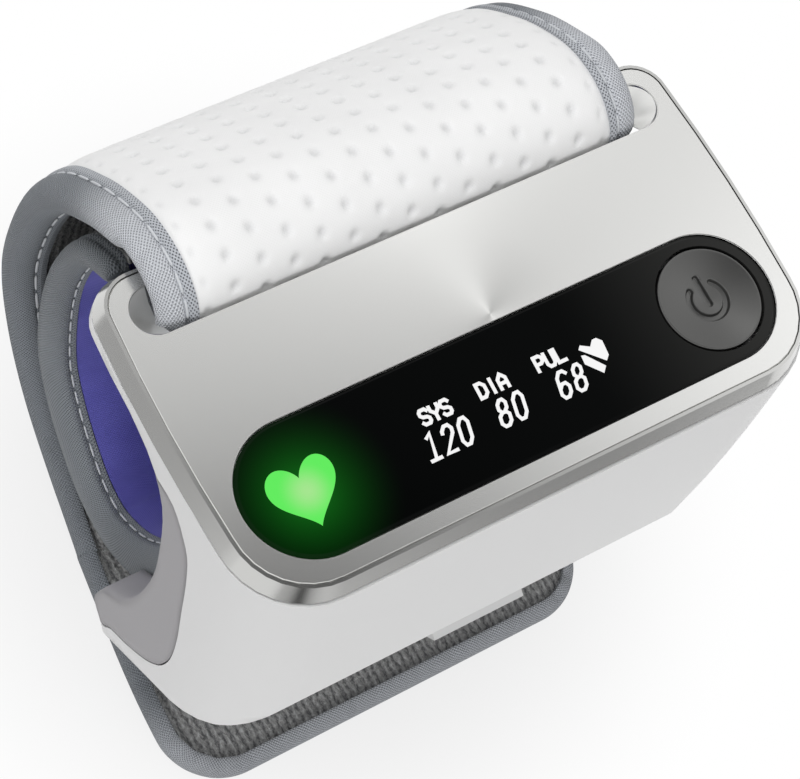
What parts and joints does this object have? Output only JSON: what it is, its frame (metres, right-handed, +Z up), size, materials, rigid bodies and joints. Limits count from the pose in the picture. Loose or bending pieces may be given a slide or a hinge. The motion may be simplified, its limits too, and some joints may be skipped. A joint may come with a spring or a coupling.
{
  "type": "wrist blood pressure monitor",
  "caption": "Wrist blood pressure monitor: a hooked display housing with a press button and a padded cuff loop whose strap folds back through a slot as a closure flap.",
  "frame": {"origin": "on the flap's flat underside, which the monitor rests on, below the middle of the object's outline", "axes": "+X along the display toward the power button, +Y from the display toward the strap slot, +Z up out of the display"},
  "size_m": [0.0812, 0.0683, 0.0755],
  "materials": {
    "plate_metal": "spun satin",
    "trim_metal": "satin grey",
    "black_lens": "polished black",
    "button_plastic": "satin dark grey",
    "dark_plastic": "matt",
    "bright_metal": "plated",
    "green_light": "lit green",
    "board": "solder resist",
    "white_plastic": "satin white",
    "grey_plastic": "satin grey",
    "battery_foil": "foil pouch",
    "hose_rubber": "silicone",
    "curler_plastic": "plain",
    "bladder_rubber": "plain",
    "lining_fabric": "fine blue-violet knit",
    "loop_fabric": "dark ribbed loop",
    "binding_fabric": "grey twill tape",
    "white_fabric": "dimpled white face",
    "hook_fabric": "hook tape"
  },
  "bodies": {
    "monitor": {"top_plate": "plate_metal", "side_trim": "trim_metal", "display_lens": "black_lens", "tact_switch": "bright_metal", "display_holder": "dark_plastic", "display_module": "black_lens", "heart_light_guide": "green_light", "heart_led": "green_light", "main_board": "board", "front_shell": "white_plastic", "wrist_cover": "grey_plastic", "cover_screw_1": "bright_metal", "cover_screw_2": "bright_metal", "cover_screw_3": "bright_metal", "cover_screw_4": "bright_metal", "charging_socket": "bright_metal", "port_lip": "white_plastic", "pump_head": "dark_plastic", "pump_motor": "bright_metal", "air_manifold": "hose_rubber", "release_valve": "bright_metal", "pressure_sensor": "dark_plastic", "battery": "battery_foil", "air_hose": "hose_rubber", "cuff_nipple": "hose_rubber", "cuff_cover": "loop_fabric", "cuff_curler": "curler_plastic", "cuff_bladder": "bladder_rubber", "cuff_lining": "lining_fabric", "cuff_piping_left": "binding_fabric", "cuff_piping_right": "binding_fabric", "fold_face": "white_fabric", "fold_backing": "loop_fabric", "fold_binding_left": "binding_fabric", "fold_binding_right": "binding_fabric"},
    "button": {"power_button": "button_plastic", "switch_plunger": "dark_plastic"},
    "flap": {"flap_face": "white_fabric", "flap_backing": "loop_fabric", "flap_binding": "binding_fabric", "flap_hook_patch": "hook_fabric"}
  },
  "joints": [
    {"name": "power_button_press", "type": "slide", "parent": "monitor", "child": "button", "axis": [0, 0, -1], "range_m": [0, 0.0004], "stiffness_N_per_m": 3000},
    {"name": "closure_flap_swing", "type": "hinge", "parent": "monitor", "child": "flap", "pos_m": [0, 0.01155, 0.0755], "axis": [1, 0, 0], "range_deg": [0, 70]}
  ]
}
